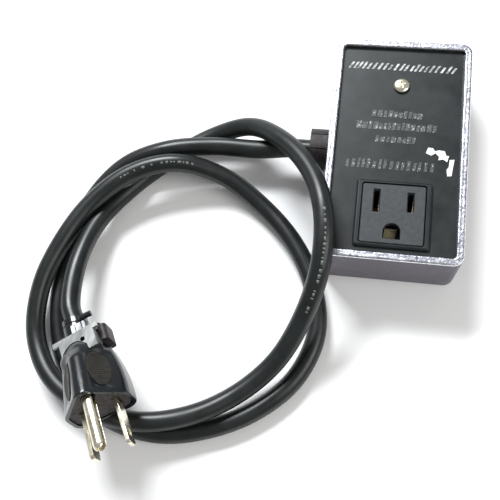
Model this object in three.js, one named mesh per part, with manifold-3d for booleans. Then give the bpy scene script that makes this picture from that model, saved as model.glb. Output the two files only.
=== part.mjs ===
// In-line mains interference filter: metal can, one grounded outlet, free cord and grounded plug.
// Millimetres, +Z up. The can lies on its back: outlet face +Z, top of the face +Y.
import * as THREE from 'three';
import { mergeVertices } from 'three/addons/utils/BufferGeometryUtils.js';
import Module from 'manifold-3d';

const wasm = await Module();
wasm.setup();

// ---------------------------------------------------------------- driving dimensions
const GAP = 0.3;                    // clearance between neighbouring pieces

const CAN = { w: 53.5, h: 92.5, d: 27.5, corner: 4.2, wall: 1.1, lip: 3.0, lipThick: 1.6 };
const PLATE = { top: 25.6, thick: 1.2 };
const PLATE_SCREW = { x: 0, y: 26.6, headR: 3.1, headH: 1.3, shankR: 1.4 };

// grounded 15 A outlet: blade pitch, ground offset and openings
const OUTLET = {
  x: 0.1, y: -27.8, face: 11.8, body: 13.0, flangeX: 14.2, flangeY: 13.3,
  faceTop: 26.75, faceThick: 2.6, flangeTop: 27.0, bottom: 6.0, wall: 2.0,
};
const PITCH = 12.7;                 // blade centre to blade centre
const GROUND_OFFSET = 11.9;         // blade line to ground pin
const SLOT_Y = -22.8;               // blade line on the outlet
const SLOT = { w: 3.0, neutral: 9.6, hot: 8.3 };
const GROUND_HOLE = { r: 3.25, flat: 3.0 };
const SPRING = { t: 0.6, foot: 7.8, top: 21.2 };

const BOARD = { x: 21.5, y0: -9, y1: 42, z: 5.0, t: 1.6 };
const BUSHING = { y: 2.3, z: 14, r: 8.4, out: 7.2, inner: 4.4, holeR: 6.4 };
const CORD_R = 3.85;                // three-core round cord, 7.7 mm

// plug: pose of the face centre (between the blades), then its own sizes
const PLUG = { x: -97.5, y: -110.9, z: 25, heading: -60.3, pitch: 14.4, roll: 2.7 };
const AXIS_U = 5.2;                 // plug body centre above the blade line
const BLADE = { w: 6.35, t: 1.5, len: 17.0, tail: 9.0, splay: 1.6 };
const PIN = { r: 2.4, len: 19.8, wall: 1.0, tail: 4.6 };
const CORD_END = -35.8;               // where the free cord meets the plug, along the plug axis

// centreline of the free cord, from the bushing to the plug, as it lies
const CORD_ROUTE = [
  [-34.6, 2.3, 14], [-42, 2.2, 13.7], [-55, 1.5, 12], [-75, 1.5, 12], [-94.5, -2, 12.5], [-112, -9, 8.5],
  [-124.5, -23.5, 4.5], [-129.5, -42.5, 4], [-131, -62.5, 4], [-127.5, -82.5, 4],
  [-118, -99.5, 4], [-102, -112, 4], [-82.5, -116, 4], [-63, -112.5, 4], [-45, -103.5, 4],
  [-31, -89.5, 4], [-24.5, -71, 4], [-28, -52, 4], [-37.5, -35, 4], [-52, -20.5, 4.5],
  [-69, -10.5, 9], [-88, -8.5, 15], [-106, -14.5, 15.5], [-120.5, -27.5, 14],
  [-130.5, -45, 12.5], [-136.5, -64, 10.5], [-135.5, -83.5, 8.5], [-125, -100, 10.5],
  [-107.5, -110, 11.7], [-87.5, -113, 11.7], [-68.5, -108.5, 10.5], [-52, -98.5, 9],
  [-38, -84.5, 12], [-29, -67.5, 21], [-24.5, -50, 31], [-25.5, -31, 33.5], [-32.5, -13, 29],
  [-45, 1.5, 22.5], [-60, 10.5, 14], [-77.5, 8, 6.5], [-95, -3.5, 4], [-109, -17.5, 4.5],
  [-118.5, -35, 9.5], [-121.3, -54.5, 15.5],
];

// ---------------------------------------------------------------- materials
const paint = (color, roughness, metalness) => ({ color, roughness, metalness });
const ALU = paint(0xb9bbc2, 0.35, 1.0);
const PLATE_BLACK = paint(0x24292b, 0.45, 0.2);
const OUTLET_GREY = paint(0x3d4145, 0.6, 0.0);
const NICKEL = paint(0xd9d2bd, 0.25, 1.0);
const BRASS = paint(0xc2a14d, 0.3, 1.0);
const STEEL = paint(0xc4c6c8, 0.3, 1.0);
const JACKET = paint(0x2c3133, 0.45, 0.0);
const GLOSS_BLACK = paint(0x15181b, 0.18, 0.0);
const FIBRE = paint(0x2a211c, 0.85, 0.0);
const PHENOLIC = paint(0x8a6a3c, 0.7, 0.0);
const FERRITE = paint(0x33353a, 0.7, 0.0);
const COPPER = paint(0xb4693a, 0.3, 1.0);
const LINE_BLACK = paint(0x1b1b1b, 0.5, 0.0);
const NEUTRAL_WHITE = paint(0xe6e6e0, 0.5, 0.0);
const GROUND_GREEN = paint(0x2c8a4b, 0.5, 0.0);

// ---------------------------------------------------------------- solids
const V3 = (x, y, z) => new THREE.Vector3(x, y, z);

function solid(geometry) {
  const g = geometry.clone();
  g.deleteAttribute('normal');
  g.deleteAttribute('uv');
  const m = mergeVertices(g, 1e-4);
  return new wasm.Manifold(new wasm.Mesh({
    numProp: 3,
    vertProperties: new Float32Array(m.attributes.position.array),
    triVerts: new Uint32Array(m.index.array),
  }));
}

function geometryOf(shape) {
  const mesh = shape.getMesh();
  const g = new THREE.BufferGeometry();
  g.setAttribute('position', new THREE.Float32BufferAttribute(mesh.vertProperties, 3));
  g.setIndex(Array.from(mesh.triVerts));
  g.computeVertexNormals();
  return g;
}

const join = (...parts) => parts.reduce((a, b) => a.add(b));
const cut = (body, ...tools) => tools.reduce((a, b) => a.subtract(b), body);

function box(x0, x1, y0, y1, z0, z1) {
  const g = new THREE.BoxGeometry(x1 - x0, y1 - y0, z1 - z0);
  return solid(g.translate((x0 + x1) / 2, (y0 + y1) / 2, (z0 + z1) / 2));
}

// cylinder along x, y or z, from one coordinate to another, centred on the other two
function rod(axis, r, from, to, c0, c1, sides = 16) {
  const g = new THREE.CylinderGeometry(r, r, to - from, sides);
  if (axis === 'x') g.rotateZ(-Math.PI / 2).translate((from + to) / 2, c0, c1);
  if (axis === 'y') g.translate(c0, (from + to) / 2, c1);
  if (axis === 'z') g.rotateX(Math.PI / 2).translate(c0, c1, (from + to) / 2);
  return solid(g);
}

function prism(points, z0, z1) {
  const shape = new THREE.Shape(points.map(([x, y]) => new THREE.Vector2(x, y)));
  return solid(new THREE.ExtrudeGeometry(shape, { depth: z1 - z0, bevelEnabled: false }).translate(0, 0, z0));
}

// skin over a stack of equal-sized rings, closed with a fan at each end
function loft(rings) {
  const n = rings[0].length;
  const pos = [];
  rings.forEach((ring) => ring.forEach((p) => pos.push(p.x, p.y, p.z)));
  const centres = [rings[0], rings[rings.length - 1]].map((ring) => {
    const c = ring.reduce((s, p) => s.add(p), V3(0, 0, 0)).divideScalar(n);
    pos.push(c.x, c.y, c.z);
    return pos.length / 3 - 1;
  });
  const index = [];
  const last = (rings.length - 1) * n;
  for (let i = 0; i < n; i++) {
    const j = (i + 1) % n;
    for (let k = 0; k < rings.length - 1; k++) {
      const a = k * n;
      index.push(a + i, a + j, a + n + j, a + i, a + n + j, a + n + i);
    }
    index.push(centres[0], j, i, centres[1], last + i, last + j);
  }
  const g = new THREE.BufferGeometry();
  g.setAttribute('position', new THREE.Float32BufferAttribute(pos, 3));
  g.setIndex(index);
  return solid(g);
}

function roundRect(hx, hy, r, z, cx = 0, cy = 0, steps = 4) {
  const ring = [];
  [[1, -1, -90], [1, 1, 0], [-1, 1, 90], [-1, -1, 180]].forEach(([sx, sy, start]) => {
    for (let i = 0; i <= steps; i++) {
      const t = THREE.MathUtils.degToRad(start + (90 * i) / steps);
      ring.push(V3(cx + sx * (hx - r) + r * Math.cos(t), cy + sy * (hy - r) + r * Math.sin(t), z));
    }
  });
  return ring;
}

const block = (hx, hy, r, z0, z1, cx = 0, cy = 0, steps = 3) =>
  loft([roundRect(hx, hy, r, z0, cx, cy, steps), roundRect(hx, hy, r, z1, cx, cy, steps)]);

// round section carried along a smooth curve
function tubeGeometry(points, r, sides, steps) {
  const path = new THREE.CatmullRomCurve3(points, false, 'centripetal');
  const ring = [];
  for (let i = 0; i < sides; i++) {
    const t = (2 * Math.PI * i) / sides;
    ring.push(new THREE.Vector2(r * Math.cos(t), r * Math.sin(t)));
  }
  return new THREE.ExtrudeGeometry(new THREE.Shape(ring), { steps, extrudePath: path });
}

const wire = (points, r = 1.1) => solid(tubeGeometry(points.map((p) => V3(...p)), r, 6, 10));

// ---------------------------------------------------------------- nodes
const group = new THREE.Group();

function node(name, shape, look, matrix) {
  const g = shape.isBufferGeometry ? shape : geometryOf(shape);
  if (matrix) g.applyMatrix4(matrix);
  const mesh = new THREE.Mesh(g, new THREE.MeshStandardMaterial(look));
  mesh.name = name;
  group.add(mesh);
}

// ---------------------------------------------------------------- can and front plate
const canX = CAN.w / 2;
const canY = CAN.h / 2;

function canRing(inset, z) {
  return roundRect(canX - inset, canY - inset, Math.max(CAN.corner - inset, 0.6), z);
}

const canShell = loft([canRing(1.0, 0), canRing(0.3, 0.35), canRing(0, 1.0), canRing(0, CAN.d - 0.7),
  canRing(0.25, CAN.d - 0.2), canRing(0.7, CAN.d)]);
const canCavity = loft([canRing(CAN.wall, CAN.wall), canRing(CAN.wall, CAN.d - CAN.lipThick)]);
const canMouth = loft([canRing(CAN.lip, CAN.d - CAN.lipThick - 1), canRing(CAN.lip, CAN.d - 0.4),
  canRing(CAN.lip - 0.5, CAN.d + 0.1)]);
const bushingHole = rod('x', BUSHING.holeR, -canX - 2, -canX + 3, BUSHING.y, BUSHING.z, 20);
node('housing_can', cut(canShell, canCavity, canMouth, bushingHole), ALU);

const plateEdge = CAN.wall + GAP;
const plate = block(canX - plateEdge, canY - plateEdge, CAN.corner - plateEdge,
  PLATE.top - PLATE.thick, PLATE.top, 0, 0, 4);
const outletHole = box(OUTLET.x - OUTLET.body - GAP, OUTLET.x + OUTLET.body + GAP,
  OUTLET.y - OUTLET.body - GAP, OUTLET.y + OUTLET.body + GAP, 20, 30);
const screwHole = rod('z', PLATE_SCREW.shankR + GAP, 20, 30, PLATE_SCREW.x, PLATE_SCREW.y, 12);
node('front_plate', cut(plate, outletHole, screwHole), PLATE_BLACK);

function crossRecess(x, y, z0, z1, half, width) {
  return join(box(x - half, x + half, y - width, y + width, z0, z1),
    box(x - width, x + width, y - half, y + half, z0, z1));
}

// pan head: a shallow dome turned about its own axis
function panHead(r, h, z, x, y) {
  const profile = [[0, 0], [r, 0], [r, h * 0.35], [r * 0.86, h * 0.75], [r * 0.5, h], [0, h]];
  const g = new THREE.LatheGeometry(profile.map(([a, b]) => new THREE.Vector2(a, b)), 20);
  return solid(g.rotateX(Math.PI / 2).translate(x, y, z));
}

const headBase = PLATE.top + GAP;
const postTop = 19;
node('plate_screw', cut(
  join(panHead(PLATE_SCREW.headR, PLATE_SCREW.headH, headBase, PLATE_SCREW.x, PLATE_SCREW.y),
    rod('z', PLATE_SCREW.shankR, 14, headBase + 0.2, PLATE_SCREW.x, PLATE_SCREW.y, 12)),
  crossRecess(PLATE_SCREW.x, PLATE_SCREW.y, headBase + 0.6, headBase + 3, 1.7, 0.35)), NICKEL);
node('centre_post', cut(rod('z', 3.4, CAN.wall + GAP, PLATE.top - PLATE.thick - GAP,
  PLATE_SCREW.x, PLATE_SCREW.y, 6),
rod('z', PLATE_SCREW.shankR + GAP, 13, 30, PLATE_SCREW.x, PLATE_SCREW.y, 12)), BRASS);

// ---------------------------------------------------------------- outlet
const ox = OUTLET.x;
const oy = OUTLET.y;
const groundY = SLOT_Y - GROUND_OFFSET;
const faceBottom = OUTLET.faceTop - OUTLET.faceThick;

function slotCut(x, length) {
  const half = SLOT.w / 2;
  const deep = block(half - 0.5, length / 2 - 0.5, 0.2, 20, 30, x, SLOT_Y, 1);
  const mouth = loft([roundRect(half - 0.5, length / 2 - 0.5, 0.2, OUTLET.faceTop - 0.7, x, SLOT_Y, 1),
    roundRect(half, length / 2, 0.2, OUTLET.faceTop + 0.1, x, SLOT_Y, 1)]);
  return join(deep, mouth);
}

const groundRound = rod('z', GROUND_HOLE.r, 20, 30, ox, groundY, 20);
const belowFlat = box(ox - 5, ox + 5, groundY - 6, groundY - GROUND_HOLE.flat, 19, 31);
const groundSquare = box(ox - GROUND_HOLE.r, ox + GROUND_HOLE.r, groundY - GROUND_HOLE.flat, groundY, 20, 30);
const groundCut = join(cut(groundRound, belowFlat), groundSquare);
node('outlet_face', cut(
  loft([roundRect(OUTLET.face, OUTLET.face, 0.8, faceBottom, ox, oy, 2),
    roundRect(OUTLET.face, OUTLET.face, 0.8, OUTLET.faceTop - 0.3, ox, oy, 2),
    roundRect(OUTLET.face - 0.3, OUTLET.face - 0.3, 0.5, OUTLET.faceTop, ox, oy, 2)]),
  slotCut(ox - PITCH / 2, SLOT.neutral), slotCut(ox + PITCH / 2, SLOT.hot), groundCut), OUTLET_GREY);

const pocket = OUTLET.face + GAP;
node('outlet_body', cut(
  join(block(OUTLET.body, OUTLET.body, 1.2, OUTLET.bottom, OUTLET.flangeTop - 0.5, ox, oy, 2),
    loft([roundRect(OUTLET.flangeX, OUTLET.flangeY, 1, PLATE.top + GAP, ox, oy, 2),
      roundRect(OUTLET.flangeX, OUTLET.flangeY, 1, OUTLET.flangeTop - 0.6, ox, oy, 2),
      roundRect(OUTLET.flangeX - 0.7, OUTLET.flangeY - 0.7, 0.6, OUTLET.flangeTop, ox, oy, 2)])),
  block(pocket, pocket, 0.9, faceBottom - GAP, 30, ox, oy, 2),
  box(ox - 11, ox + 11, oy - 11, oy + 11, OUTLET.bottom + OUTLET.wall, 30)), PLATE_BLACK);

// two spring leaves on a foot; the leaves face each other across the gap
function spring(x, y, gapX, gapY, width) {
  const t = SPRING.t;
  const alongX = gapX > 0;
  const half = (alongX ? gapX : gapY) / 2;
  const leaf = (s) => {
    const near = Math.min(s * half, s * (half + t));
    const far = Math.max(s * half, s * (half + t));
    return alongX ? box(x + near, x + far, y - width / 2, y + width / 2, SPRING.foot + 0.5, SPRING.top)
      : box(x - width / 2, x + width / 2, y + near, y + far, SPRING.foot + 0.5, SPRING.top);
  };
  const reach = half + t;
  const foot = alongX
    ? box(x - reach, x + reach, y - width / 2, y + width / 2, SPRING.foot + 0.5, SPRING.foot + 1.2)
    : box(x - width / 2, x + width / 2, y - reach, y + reach, SPRING.foot + 0.5, SPRING.foot + 1.2);
  return join(leaf(-1), leaf(1), foot);
}

node('outlet_neutral_contact', spring(ox - PITCH / 2, SLOT_Y, 1.9, 0, 7), BRASS);
node('outlet_hot_contact', spring(ox + PITCH / 2, SLOT_Y, 1.9, 0, 6), BRASS);
node('outlet_ground_contact', spring(ox, groundY, 0, 4.95, 5), NICKEL);

// ---------------------------------------------------------------- filter board and its parts
const boardTop = BOARD.z + BOARD.t;
const seat = boardTop + GAP;
const corners = [[-18, -5], [18, -5], [-18, 38], [18, 38]];
const standoffR = 2.6;
const boardHoles = corners.map(([x, y]) => rod('z', 1.6, 0, 10, x, y, 10));
node('filter_board', cut(box(-BOARD.x, BOARD.x, BOARD.y0, BOARD.y1, BOARD.z, boardTop),
  rod('z', 3.8, 0, 10, PLATE_SCREW.x, PLATE_SCREW.y, 12), ...boardHoles), PHENOLIC);
corners.forEach(([x, y], i) => {
  node(`board_spacer_${i + 1}`, cut(rod('z', standoffR, CAN.wall + GAP, BOARD.z - GAP, x, y, 10),
    rod('z', 1.5, 2.2, 8, x, y, 10)), BRASS);
  node(`board_screw_${i + 1}`, join(rod('z', standoffR, seat, seat + 1.6, x, y, 10),
    rod('z', 1.2, 3, seat + 0.5, x, y, 10)), STEEL);
});

const CHOKE = { x: -7, y: 9, inner: 4.7, outer: 8.5, h: 7, turns: 8, pitch: 18 };
const chokeProfile = [[CHOKE.inner, 0], [CHOKE.outer, 0], [CHOKE.outer, CHOKE.h], [CHOKE.inner, CHOKE.h],
  [CHOKE.inner, 0]].map(([r, h]) => new THREE.Vector2(r, h));
const chokeBase = seat + 1.5;
node('choke_core', solid(new THREE.LatheGeometry(chokeProfile, 24).rotateX(Math.PI / 2)
  .translate(CHOKE.x, CHOKE.y, chokeBase)), FERRITE);

// one turn is a square loop of wire round the core; a winding is a fan of turns
function winding(startAngle) {
  const gap = 0.35;
  const w = 1.1;
  const turn = cut(
    box(CHOKE.inner - gap - w, CHOKE.outer + gap + w, -w / 2, w / 2, -gap - w, CHOKE.h + gap + w),
    box(CHOKE.inner - gap, CHOKE.outer + gap, -w, w, -gap, CHOKE.h + gap));
  const turns = [];
  for (let i = 0; i < CHOKE.turns; i++) {
    turns.push(turn.rotate([0, 0, startAngle + i * CHOKE.pitch]).translate([CHOKE.x, CHOKE.y, chokeBase]));
  }
  return join(...turns);
}
node('choke_line_winding', winding(24), COPPER);
node('choke_neutral_winding', winding(204), COPPER);

node('x_capacitor', block(4.5, 9, 0.8, seat, seat + 14, 8.5, 6, 2), paint(0xc9a227, 0.4, 0));
const disc = (r, t, x, y, z) => rod('y', r, y - t / 2, y + t / 2, x, z, 14);
const legs = (x, y, half, z) => join(box(x - half - 0.35, x - half + 0.35, y - 0.35, y + 0.35, seat, z),
  box(x + half - 0.35, x + half + 0.35, y - 0.35, y + 0.35, seat, z));
[24, 30].forEach((y, i) => node(`y_capacitor_${i + 1}`,
  join(disc(4.2, 2.4, -12, y, seat + 7.5), legs(-12, y, 2.5, seat + 6)), paint(0x3d6fa5, 0.4, 0)));
node('surge_varistor', join(disc(6, 3.4, 12, 20, seat + 9), legs(12, 20, 3, seat + 6)), paint(0x2f7d54, 0.4, 0));
node('bleed_resistor', join(rod('x', 1.5, 7, 15, 31, seat + 2.2, 12), legs(11, 31, 5, seat + 2.6),
  rod('x', 0.35, 5.8, 16.2, 31, seat + 2.2, 6)), paint(0xb89b6f, 0.6, 0));

// ---------------------------------------------------------------- cord entry and inside leads
const bushX = -canX;
const bushRing = join(rod('x', BUSHING.r, bushX - BUSHING.out, bushX - GAP, BUSHING.y, BUSHING.z, 20),
  rod('x', BUSHING.holeR - GAP, bushX - 1, bushX + BUSHING.inner, BUSHING.y, BUSHING.z, 20));
const bushBore = rod('x', CORD_R + GAP, bushX - 10, bushX + 10, BUSHING.y, BUSHING.z, 16);
const wedgeSlot = (grow) => box(bushX - 12, bushX + 12, BUSHING.y - 3 - grow, BUSHING.y + 3 + grow,
  BUSHING.z + 1, BUSHING.z + 12);
node('strain_relief_bushing', cut(bushRing, bushBore, wedgeSlot(GAP)), FIBRE);
node('strain_relief_wedge', cut(bushRing.intersect(wedgeSlot(0)), bushBore), FIBRE);

const jacketEnd = -22;
node('cord_inner_end', rod('x', CORD_R, bushX - BUSHING.out, jacketEnd, BUSHING.y, BUSHING.z, 10), JACKET);
const coreStart = jacketEnd + GAP;
const coreRun = coreStart + 1.2;
node('line_lead_in', wire([[coreStart, 4, 15], [coreRun, 4, 15], [-17, 7, 19], [-12, 14, 21], [-7, 19, 19.5]]),
  LINE_BLACK);
node('neutral_lead_in', wire([[coreStart, 0.6, 15], [coreRun, 0.6, 15], [-16, -1, 19], [-10, 0, 20], [-5, 2, 20]]),
  NEUTRAL_WHITE);
node('ground_lead_in', wire([[coreStart, 2.3, 11.8], [coreRun, 2, 11.8], [-20.3, -5, 12], [-20.5, -12, 9.6],
  [-20, -20.5, 4.3]]), GROUND_GREEN);
node('ground_lug', cut(box(-23, -17, -31, -22, CAN.wall + GAP, CAN.wall + GAP + 1),
  rod('z', 1.9, 0, 6, -20, -28, 10)), STEEL);
node('ground_screw', join(rod('z', 1.5, CAN.wall + GAP, 4, -20, -28, 10), rod('z', 3, 2.8, 4.6, -20, -28, 12)),
  STEEL);
node('line_lead_out', wire([[17, 2, 9], [19.5, -6, 12], [18, -12, 18], [16, -20, 18]]), LINE_BLACK);
node('neutral_lead_out', wire([[-2, -6, 9], [-8, -8, 14], [-16, -13, 19], [-17, -20, 18]]), NEUTRAL_WHITE);

// ---------------------------------------------------------------- plug, in its own axes: b across, u up, a ahead
const toRad = THREE.MathUtils.degToRad;
const plugMatrix = new THREE.Matrix4().makeTranslation(PLUG.x, PLUG.y, PLUG.z)
  .multiply(new THREE.Matrix4().makeRotationZ(toRad(PLUG.heading)))
  .multiply(new THREE.Matrix4().makeRotationY(-toRad(PLUG.pitch)))
  .multiply(new THREE.Matrix4().makeBasis(V3(0, 1, 0), V3(0, 0, 1), V3(1, 0, 0)))
  .multiply(new THREE.Matrix4().makeRotationZ(toRad(PLUG.roll)));

// Body section at the front: flat below the blades, two slanted sides meeting over the ground pin.
// Each corner is b, u and radius. Towards the cord the section shrinks and its top turns into a round dome.
const SECTION = [[-13.3, -8.7, 4.2], [11.9, -8.7, 4.5], [11.9, 3.5, 6], [-0.7, 20.2, 4], [-13.3, 3.5, 6]];
const BODY = { b: -0.7, u: 4.5, front: -0.5, shrink: 0.0127, driftB: 0.027, driftU: 0.05, belly: 1.6, end: -26.8 };
const DOME = { start: -19, pull: 0.36, b: 0.4, u: 5.6, w: 9.9, narrowing: 0.9, h: 8.5, crown: -16, length: 11.2,
  least: 5.2, from: -15.5, full: -20.5 };
const clamp01 = (t) => Math.min(1, Math.max(0, t));

function domeRadius(angle, a) {
  const w = Math.max(DOME.least, DOME.w - DOME.narrowing * (DOME.start - a));
  const fall = clamp01((DOME.crown - a) / DOME.length);
  const h = Math.max(DOME.least, DOME.h * Math.sqrt(1 - fall * fall));
  return 1 / Math.hypot(Math.cos(angle) / w, Math.sin(angle) / h);
}

function bodyPoint(b, u, a, scale, grow) {
  const back = Math.max(0, BODY.front - a);
  const t = clamp01((DOME.start - a) / (DOME.start - BODY.end));
  const k = scale * (1 - BODY.shrink * back) * (1 - DOME.pull * t ** 1.8);
  const belly = BODY.belly * Math.sin(Math.PI * clamp01(back / 24)) ** 0.8;
  let x = BODY.b + BODY.driftB * back + (b - BODY.b) * k + belly * scale * Math.max(0, b - BODY.b) / 12.6;
  let y = BODY.u + BODY.driftU * back + (u - BODY.u) * k;
  const angle = Math.atan2(y - DOME.u, x - DOME.b);
  const round = THREE.MathUtils.smoothstep(-a, -DOME.from, -DOME.full) * clamp01(Math.sin(angle) / 0.35);
  const r = domeRadius(angle, a) * scale;
  x += (DOME.b + r * Math.cos(angle) - x) * round + grow * Math.cos(angle);
  y += (DOME.u + r * Math.sin(angle) - y) * round + grow * Math.sin(angle);
  return V3(x, y, a);
}

function sectionRing(a, scale = 1, grow = 0) {
  const outline = [];
  SECTION.forEach(([b, u, r], i) => {
    const corner = new THREE.Vector2(b, u);
    const [before, after] = [SECTION[(i + 4) % 5], SECTION[(i + 1) % 5]]
      .map(([x, y]) => new THREE.Vector2(x, y).sub(corner).normalize());
    const half = Math.acos(before.dot(after)) / 2;
    const middle = before.clone().add(after).normalize();
    const centre = corner.clone().addScaledVector(middle, r / Math.sin(half));
    const start = corner.clone().addScaledVector(before, r / Math.tan(half)).sub(centre).angle();
    for (let j = 0; j <= 4; j++) {
      const t = start + ((Math.PI - 2 * half) * j) / 4;
      outline.push(new THREE.Vector2(centre.x + r * Math.cos(t), centre.y + r * Math.sin(t)));
    }
  });
  const ring = [];
  outline.forEach((p, i) => {
    const next = outline[(i + 1) % outline.length];
    const steps = p.distanceTo(next) > 8 && next.y > 4 ? 4 : 1;
    for (let j = 0; j < steps; j++) {
      const q = p.clone().lerp(next, j / steps);
      ring.push(bodyPoint(q.x, q.y, a, scale, grow));
    }
  });
  return ring;
}

function plugBody(grow) {
  const rings = [sectionRing(grow, 0.97, grow)];
  [-0.6, -6, -12, -15.5, -18, -20.5, -22.2, -24, -25.5].forEach((a) => rings.push(sectionRing(a, 1, grow)));
  rings.push(sectionRing(BODY.end - grow, 0.9, grow));
  return loft(rings.reverse());
}

const sectionBlock = (scale, a0, a1) => loft([sectionRing(a0, scale), sectionRing(a1, scale)]);

const cordBore = rod('z', CORD_R + GAP, -45, -10, 0, AXIS_U, 14);
node('plug_body', cut(plugBody(0), sectionBlock(0.88, -1.9, 2), sectionBlock(0.82, -5.2, 2),
  sectionBlock(0.8, -15.8, -4), cordBore), GLOSS_BLACK, plugMatrix);

const bladeHole = (s) => box(s * PITCH / 2 - 1.15, s * PITCH / 2 + 1.15, -3.5, 3.5, -5, 5);
node('plug_face_disc', cut(sectionBlock(0.86, -1.5, -0.5), bladeHole(-1), bladeHole(1),
  rod('z', PIN.r + GAP, -5, 5, 0, GROUND_OFFSET, 16)), FIBRE, plugMatrix);

function blade(side) {
  const tip = [[-BLADE.w / 2, -1.5], [BLADE.w / 2, -1.5], [BLADE.w / 2, BLADE.len - 1.2],
    [BLADE.w / 2 - 1, BLADE.len],
    [-BLADE.w / 2 + 1, BLADE.len], [-BLADE.w / 2, BLADE.len - 1.2]];
  const flat = cut(prism(tip, -BLADE.t / 2, BLADE.t / 2), rod('z', 1.6, -3, 3, 0, BLADE.len - 4.6, 12));
  const up = flat.rotate([90, 0, 90]);
  const tail = box(-BLADE.t / 2, BLADE.t / 2, -1.8, 1.8, -BLADE.tail, -1.4);
  return join(up, tail).rotate([0, side * BLADE.splay, 0]).translate([side * PITCH / 2, 0, 0]);
}
node('plug_hot_blade', blade(1), NICKEL, plugMatrix);
node('plug_neutral_blade', blade(-1), NICKEL, plugMatrix);

const nose = new THREE.SphereGeometry(PIN.r, 16, 8);
node('plug_ground_pin', cut(
  join(rod('z', PIN.r, -PIN.tail, PIN.len - PIN.r, 0, GROUND_OFFSET, 16),
    solid(nose.rotateX(Math.PI / 2).translate(0, GROUND_OFFSET, PIN.len - PIN.r))),
  box(PIN.wall - PIN.r, 4, GROUND_OFFSET - PIN.r + PIN.wall, GROUND_OFFSET + PIN.r - PIN.wall, -12, 30)),
NICKEL, plugMatrix);

node('plug_hot_screw', rod('x', 1.9, 3.5, 5.0, 0, -6, 10), BRASS, plugMatrix);
node('plug_neutral_screw', rod('x', 1.9, -5.0, -3.5, 0, -6, 10), BRASS, plugMatrix);
node('plug_ground_screw', rod('y', 1.9, 7.6, 9.2, 0, -3.9, 10), BRASS, plugMatrix);

const coreFrom = -15.3;
const coreStraight = coreFrom + 1.2;
const coreTo = (side) => wire([[side * 1.8, AXIS_U - 1, coreFrom], [side * 1.8, AXIS_U - 1, coreStraight],
  [side * 3, 3.4, -11.8], [side * 3, 1.4, -9.3], [side * 1.9, 0.5, -7]], 1.0);
node('plug_line_core', coreTo(1), LINE_BLACK, plugMatrix);
node('plug_neutral_core', coreTo(-1), NEUTRAL_WHITE, plugMatrix);
node('plug_ground_core', wire([[0, AXIS_U + 1.8, coreFrom], [0, AXIS_U + 1.8, coreStraight], [0, 7.7, -11],
  [0, 8.3, -8.6], [0, 8.4, -6.6]], 1.0), GROUND_GREEN, plugMatrix);
node('plug_cord_end', rod('z', CORD_R, CORD_END, coreFrom - GAP, 0, AXIS_U, 10), JACKET, plugMatrix);

// clamp: stamped saddle with three fingers, moulded yoke under it, ribbed collar and ring behind
const bodyClearance = plugBody(GAP);
const SADDLE = { b: 0.9, u: 11.3, a: -26.9, tilt: 5, turn: 2.5, t: 1.0 };
const saddleOutline = [[-9.3, 0], [9.3, 0], [9.3, 1.9], [7.4, 1.9], [7.4, 9], [-6.9, 9], [-6.9, 1.9], [-9.3, 1.9]];
const saddleTop = prism(saddleOutline.map(([x, y]) => [x, -y]), 0, SADDLE.t).rotate([-90, 0, 0]);
const saddle = join(saddleTop, box(-6.9, -5.9, -4.5, 0.5, 2.2, 7.5), box(6.4, 7.4, -4.5, 0.5, 2.2, 7.5),
  box(-6.9, 7.4, -1.6, 0.5, 0, 1.2))
  .rotate([0, SADDLE.turn, SADDLE.tilt]).translate([SADDLE.b, SADDLE.u, SADDLE.a]);
const fingers = [[0.1, 1.6], [2.4, 3.9], [4.5, 5.4]].map(([b0, b1]) => box(b0, b1, 10.7, 11.7, -30.6, -26.2));
node('plug_clamp_saddle', cut(join(saddle, ...fingers), bodyClearance, cordBore,
  rod('y', 1.0, 8, 16, 3.6, -22.9, 10)), STEEL, plugMatrix);

const skirtClearance = box(6.4 - GAP, 7.4 + GAP, -4.5 - GAP, 2, 2.2 - GAP, 7.5 + GAP)
  .rotate([0, SADDLE.turn, SADDLE.tilt]).translate([SADDLE.b, SADDLE.u, SADDLE.a]);
const screwSpots = [[-6.1, -28.6], [7.6, -28.6]];
const screwBores = screwSpots.map(([b, a]) => rod('y', 0.8 + GAP, -8, 7.1, b, a, 10));
const yoke = join(block(8.8, 4.6, 1.8, -29.9, -27.23, 0.9, 3.2), block(1.7, 4.6, 1.5, -28.1, -21.6, 10.2, 4.2));
const collarHole = rod('z', 5.1 + GAP, -45, -20, 0, AXIS_U, 16);
node('plug_clamp_yoke', cut(yoke, bodyClearance, collarHole, skirtClearance, ...screwBores), FIBRE, plugMatrix);
screwSpots.forEach(([b, a], i) => node(`plug_clamp_screw_${i + 1}`,
  join(rod('y', 0.8, -2.2, 6.8, b, a, 10), rod('y', 2.0, -3.2, -1.75, b, a, 10)), BRASS, plugMatrix));

node('plug_collar', cut(rod('z', 5.1, -33, -27.2, 0, AXIS_U, 24), cordBore), GLOSS_BLACK, plugMatrix);
node('plug_grommet', cut(join(rod('z', 5.0, CORD_END + 0.1, -33.3, 0, AXIS_U, 16),
  rod('x', 1.1, 3.0, 8.0, 8.2, -34.5, 10)), cordBore), GLOSS_BLACK, plugMatrix);

// ---------------------------------------------------------------- the free cord itself
const plugPoint = (b, u, a) => V3(b, u, a).applyMatrix4(plugMatrix);
const route = CORD_ROUTE.map((p) => V3(...p));
route.push(plugPoint(0, AXIS_U, CORD_END - 8), plugPoint(0, AXIS_U, CORD_END - 0.5));
node('power_cord', tubeGeometry(route, CORD_R, 8, 80), JACKET);

export default group;
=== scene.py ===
"""Looks for the in-line mains filter box: can, outlet, free cord and plug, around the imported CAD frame."""
import math
import random

import bmesh
import bpy
from mathutils import Matrix, Vector, noise


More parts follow.
